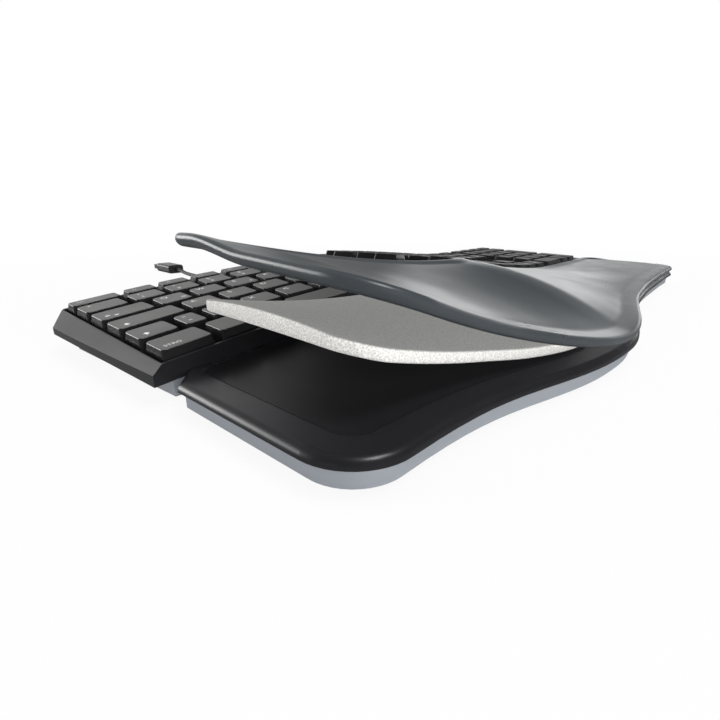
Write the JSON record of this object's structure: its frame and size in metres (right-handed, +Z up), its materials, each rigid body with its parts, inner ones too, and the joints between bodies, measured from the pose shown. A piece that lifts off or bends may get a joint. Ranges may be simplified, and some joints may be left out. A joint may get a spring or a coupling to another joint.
{
  "type": "ergonomic keyboard",
  "caption": "Curved, tented full-size wired keyboard with a number pad and a padded palm rest whose soft cover and foam are peeled up at the left end",
  "frame": {"origin": "centre of the footprint at the level of the rubber feet, cord left out", "axes": "+X runs right along the keyboard's length, +Y runs away from the user, +Z is up"},
  "size_m": [0.456, 0.4783, 0.0603],
  "materials": {
    "key_plastic": "fine satin grain, printed legends",
    "case_plastic": "satin grey",
    "frame_plastic": "satin black",
    "tray_plastic": "satin black",
    "plate_plastic": "plain moulded",
    "dome_rubber": "translucent silicone",
    "membrane_film": "clear printed film",
    "backing_steel": "rolled sheet",
    "board": "solder mask",
    "lens_plastic": "clear moulded",
    "foam": "open cell memory foam",
    "cover_leather": "fine grained soft cover",
    "foot_plastic": "satin black",
    "screw_steel": "zinc plated",
    "pad_rubber": "plain",
    "cord_rubber": "satin black jacket",
    "plug_plastic": "satin black with a metal shell"
  },
  "bodies": {
    "case": {"bottom_case": "case_plastic", "key_frame": "frame_plastic", "key_plate": "plate_plastic", "dome_sheet": "dome_rubber", "contact_membrane": "membrane_film", "backing_plate": "backing_steel", "controller_board": "board", "lock_light_lenses": "lens_plastic", "palm_rest_base": "case_plastic", "palm_rest_tray": "tray_plastic", "foam_pad": "foam", "palm_cover": "cover_leather", "tilt_foot_pins": "screw_steel", "rubber_feet": "pad_rubber", "case_screws": "screw_steel", "palm_rest_screws": "screw_steel", "strain_relief": "cord_rubber", "cord": "cord_rubber", "cord_coil": "cord_rubber", "usb_plug": "plug_plastic"},
    "left_ctrl_key_body": {"left_ctrl_key": "key_plastic"},
    "left_super_key_body": {"left_super_key": "key_plastic"},
    "left_inner_keys_body": {"left_inner_keys": "key_plastic"},
    "left_space_bar_body": {"left_space_bar": "key_plastic"},
    "left_shift_key_body": {"left_shift_key": "key_plastic"},
    "angle_bracket_key_body": {"angle_bracket_key": "key_plastic"},
    "y_key_body": {"y_key": "key_plastic"},
    "x_key_body": {"x_key": "key_plastic"},
    "c_key_body": {"c_key": "key_plastic"},
    "caps_lock_key_body": {"caps_lock_key": "key_plastic"},
    "a_key_body": {"a_key": "key_plastic"},
    "s_key_body": {"s_key": "key_plastic"},
    "d_key_body": {"d_key": "key_plastic"},
    "f_key_body": {"f_key": "key_plastic"},
    "tab_key_body": {"tab_key": "key_plastic"},
    "q_key_body": {"q_key": "key_plastic"},
    "w_key_body": {"w_key": "key_plastic"},
    "e_key_body": {"e_key": "key_plastic"},
    "r_key_body": {"r_key": "key_plastic"},
    "t_key_body": {"t_key": "key_plastic"},
    "caret_key_body": {"caret_key": "key_plastic"},
    "one_key_body": {"one_key": "key_plastic"},
    "two_key_body": {"two_key": "key_plastic"},
    "three_key_body": {"three_key": "key_plastic"},
    "four_key_body": {"four_key": "key_plastic"},
    "five_key_body": {"five_key": "key_plastic"},
    "escape_key_body": {"escape_key": "key_plastic"},
    "left_function_keys_body": {"left_function_keys": "key_plastic"},
    "right_bottom_keys_body": {"right_bottom_keys": "key_plastic"},
    "right_space_bar_body": {"right_space_bar": "key_plastic"},
    "right_lower_keys_body": {"right_lower_keys": "key_plastic"},
    "right_home_keys_body": {"right_home_keys": "key_plastic"},
    "right_upper_keys_body": {"right_upper_keys": "key_plastic"},
    "right_number_keys_body": {"right_number_keys": "key_plastic"},
    "right_function_keys_body": {"right_function_keys": "key_plastic"},
    "arrow_keys_body": {"arrow_keys": "key_plastic"},
    "navigation_keys_body": {"navigation_keys": "key_plastic"},
    "number_pad_keys_body": {"number_pad_keys": "key_plastic"},
    "left_tilt_foot_body": {"left_tilt_foot": "foot_plastic"},
    "right_tilt_foot_body": {"right_tilt_foot": "foot_plastic"}
  },
  "joints": [
    {"name": "left_ctrl_press", "type": "slide", "parent": "case", "child": "left_ctrl_key_body", "axis": [0.112, 0.0225, -0.9935], "range_m": [0, 0.0022], "stiffness_N_per_m": 200, "deforming": ["dome_sheet"]},
    {"name": "left_super_press", "type": "slide", "parent": "case", "child": "left_super_key_body", "axis": [0.1138, 0.0221, -0.9933], "range_m": [0, 0.0022], "stiffness_N_per_m": 200, "deforming": ["dome_sheet"]},
    {"name": "left_inner_press", "type": "slide", "parent": "case", "child": "left_inner_keys_body", "axis": [0.1216, 0.0071, -0.9926], "range_m": [0, 0.0022], "stiffness_N_per_m": 200, "deforming": ["dome_sheet"]},
    {"name": "left_space_press", "type": "slide", "parent": "case", "child": "left_space_bar_body", "axis": [0.1312, 0.0126, -0.9913], "range_m": [0, 0.0022], "stiffness_N_per_m": 200, "deforming": ["dome_sheet"]},
    {"name": "left_shift_press", "type": "slide", "parent": "case", "child": "left_shift_key_body", "axis": [0.1119, 0.0225, -0.9935], "range_m": [0, 0.0022], "stiffness_N_per_m": 200, "deforming": ["dome_sheet"]},
    {"name": "angle_bracket_press", "type": "slide", "parent": "case", "child": "angle_bracket_key_body", "axis": [0.1126, 0.0224, -0.9934], "range_m": [0, 0.0022], "stiffness_N_per_m": 200, "deforming": ["dome_sheet"]},
    {"name": "y_press", "type": "slide", "parent": "case", "child": "y_key_body", "axis": [0.1139, 0.0217, -0.9933], "range_m": [0, 0.0022], "stiffness_N_per_m": 200, "deforming": ["dome_sheet"]},
    {"name": "x_press", "type": "slide", "parent": "case", "child": "x_key_body", "axis": [0.1165, 0.0199, -0.993], "range_m": [0, 0.0022], "stiffness_N_per_m": 200, "deforming": ["dome_sheet"]},
    {"name": "c_press", "type": "slide", "parent": "case", "child": "c_key_body", "axis": [0.1206, 0.0164, -0.9926], "range_m": [0, 0.0022], "stiffness_N_per_m": 200, "deforming": ["dome_sheet"]},
    {"name": "caps_lock_press", "type": "slide", "parent": "case", "child": "caps_lock_key_body", "axis": [0.1119, 0.0225, -0.9935], "range_m": [0, 0.0022], "stiffness_N_per_m": 200, "deforming": ["dome_sheet"]},
    {"name": "a_press", "type": "slide", "parent": "case", "child": "a_key_body", "axis": [0.1127, 0.0217, -0.9934], "range_m": [0, 0.0022], "stiffness_N_per_m": 200, "deforming": ["dome_sheet"]},
    {"name": "s_press", "type": "slide", "parent": "case", "child": "s_key_body", "axis": [0.114, 0.0199, -0.9933], "range_m": [0, 0.0022], "stiffness_N_per_m": 200, "deforming": ["dome_sheet"]},
    {"name": "d_press", "type": "slide", "parent": "case", "child": "d_key_body", "axis": [0.1161, 0.0164, -0.9931], "range_m": [0, 0.0022], "stiffness_N_per_m": 200, "deforming": ["dome_sheet"]},
    {"name": "f_press", "type": "slide", "parent": "case", "child": "f_key_body", "axis": [0.1196, 0.0109, -0.9928], "range_m": [0, 0.0022], "stiffness_N_per_m": 200, "deforming": ["dome_sheet"]},
    {"name": "tab_press", "type": "slide", "parent": "case", "child": "tab_key_body", "axis": [0.1118, 0.0225, -0.9935], "range_m": [0, 0.0022], "stiffness_N_per_m": 200, "deforming": ["dome_sheet"]},
    {"name": "q_press", "type": "slide", "parent": "case", "child": "q_key_body", "axis": [0.1116, 0.022, -0.9935], "range_m": [0, 0.0022], "stiffness_N_per_m": 200, "deforming": ["dome_sheet"]},
    {"name": "w_press", "type": "slide", "parent": "case", "child": "w_key_body", "axis": [0.1115, 0.0205, -0.9936], "range_m": [0, 0.0022], "stiffness_N_per_m": 200, "deforming": ["dome_sheet"]},
    {"name": "e_press", "type": "slide", "parent": "case", "child": "e_key_body", "axis": [0.1116, 0.0176, -0.9936], "range_m": [0, 0.0022], "stiffness_N_per_m": 200, "deforming": ["dome_sheet"]},
    {"name": "r_press", "type": "slide", "parent": "case", "child": "r_key_body", "axis": [0.1125, 0.0127, -0.9936], "range_m": [0, 0.0022], "stiffness_N_per_m": 200, "deforming": ["dome_sheet"]},
    {"name": "t_press", "type": "slide", "parent": "case", "child": "t_key_body", "axis": [0.1145, 0.0054, -0.9934], "range_m": [0, 0.0022], "stiffness_N_per_m": 200, "deforming": ["dome_sheet"]},
    {"name": "caret_press", "type": "slide", "parent": "case", "child": "caret_key_body", "axis": [0.1117, 0.0225, -0.9935], "range_m": [0, 0.0022], "stiffness_N_per_m": 200, "deforming": ["dome_sheet"]},
    {"name": "one_press", "type": "slide", "parent": "case", "child": "one_key_body", "axis": [0.111, 0.0222, -0.9936], "range_m": [0, 0.0022], "stiffness_N_per_m": 200, "deforming": ["dome_sheet"]},
    {"name": "two_press", "type": "slide", "parent": "case", "child": "two_key_body", "axis": [0.1097, 0.021, -0.9937], "range_m": [0, 0.0022], "stiffness_N_per_m": 200, "deforming": ["dome_sheet"]},
    {"name": "three_press", "type": "slide", "parent": "case", "child": "three_key_body", "axis": [0.1081, 0.0184, -0.994], "range_m": [0, 0.0022], "stiffness_N_per_m": 200, "deforming": ["dome_sheet"]},
    {"name": "four_press", "type": "slide", "parent": "case", "child": "four_key_body", "axis": [0.1067, 0.014, -0.9942], "range_m": [0, 0.0022], "stiffness_N_per_m": 200, "deforming": ["dome_sheet"]},
    {"name": "five_press", "type": "slide", "parent": "case", "child": "five_key_body", "axis": [0.1058, 0.0073, -0.9944], "range_m": [0, 0.0022], "stiffness_N_per_m": 200, "deforming": ["dome_sheet"]},
    {"name": "escape_press", "type": "slide", "parent": "case", "child": "escape_key_body", "axis": [0.1116, 0.0225, -0.9935], "range_m": [0, 0.0022], "stiffness_N_per_m": 200, "deforming": ["dome_sheet"]},
    {"name": "left_function_press", "type": "slide", "parent": "case", "child": "left_function_keys_body", "axis": [0.1046, 0.0161, -0.9944], "range_m": [0, 0.0022], "stiffness_N_per_m": 200, "deforming": ["dome_sheet"]},
    {"name": "right_bottom_press", "type": "slide", "parent": "case", "child": "right_bottom_keys_body", "axis": [-0.1215, 0.0158, -0.9925], "range_m": [0, 0.0022], "stiffness_N_per_m": 200, "deforming": ["dome_sheet"]},
    {"name": "right_space_press", "type": "slide", "parent": "case", "child": "right_space_bar_body", "axis": [-0.1517, -0.0091, -0.9884], "range_m": [0, 0.0022], "stiffness_N_per_m": 200, "deforming": ["dome_sheet"]},
    {"name": "right_lower_press", "type": "slide", "parent": "case", "child": "right_lower_keys_body", "axis": [-0.1235, 0.0085, -0.9923], "range_m": [0, 0.0022], "stiffness_N_per_m": 200, "deforming": ["dome_sheet"]},
    {"name": "right_home_press", "type": "slide", "parent": "case", "child": "right_home_keys_body", "axis": [-0.114, 0.005, -0.9935], "range_m": [0, 0.0022], "stiffness_N_per_m": 200, "deforming": ["dome_sheet"]},
    {"name": "right_upper_press", "type": "slide", "parent": "case", "child": "right_upper_keys_body", "axis": [-0.109, 0.0069, -0.994], "range_m": [0, 0.0022], "stiffness_N_per_m": 200, "deforming": ["dome_sheet"]},
    {"name": "right_number_press", "type": "slide", "parent": "case", "child": "right_number_keys_body", "axis": [-0.1, 0.0053, -0.995], "range_m": [0, 0.0022], "stiffness_N_per_m": 200, "deforming": ["dome_sheet"]},
    {"name": "right_function_press", "type": "slide", "parent": "case", "child": "right_function_keys_body", "axis": [-0.0964, 0.0075, -0.9953], "range_m": [0, 0.0022], "stiffness_N_per_m": 200, "deforming": ["dome_sheet"]},
    {"name": "arrow_press", "type": "slide", "parent": "case", "child": "arrow_keys_body", "axis": [-0.0452, 0.0227, -0.9987], "range_m": [0, 0.0022], "stiffness_N_per_m": 200, "deforming": ["dome_sheet"]},
    {"name": "navigation_press", "type": "slide", "parent": "case", "child": "navigation_keys_body", "axis": [-0.0465, 0.0226, -0.9987], "range_m": [0, 0.0022], "stiffness_N_per_m": 200, "deforming": ["dome_sheet"]},
    {"name": "number_pad_press", "type": "slide", "parent": "case", "child": "number_pad_keys_body", "axis": [-0.0023, 0.0227, -0.9997], "range_m": [0, 0.0022], "stiffness_N_per_m": 200, "deforming": ["dome_sheet"]},
    {"name": "left_tilt_foot_fold", "type": "hinge", "parent": "case", "child": "left_tilt_foot_body", "pos_m": [-0.1215, -0.04645, 0.0044], "axis": [1, 0, 0], "range_deg": [0, 90]},
    {"name": "right_tilt_foot_fold", "type": "hinge", "parent": "case", "child": "right_tilt_foot_body", "pos_m": [0.0065, -0.04645, 0.0044], "axis": [1, 0, 0], "range_deg": [0, 90]}
  ]
}
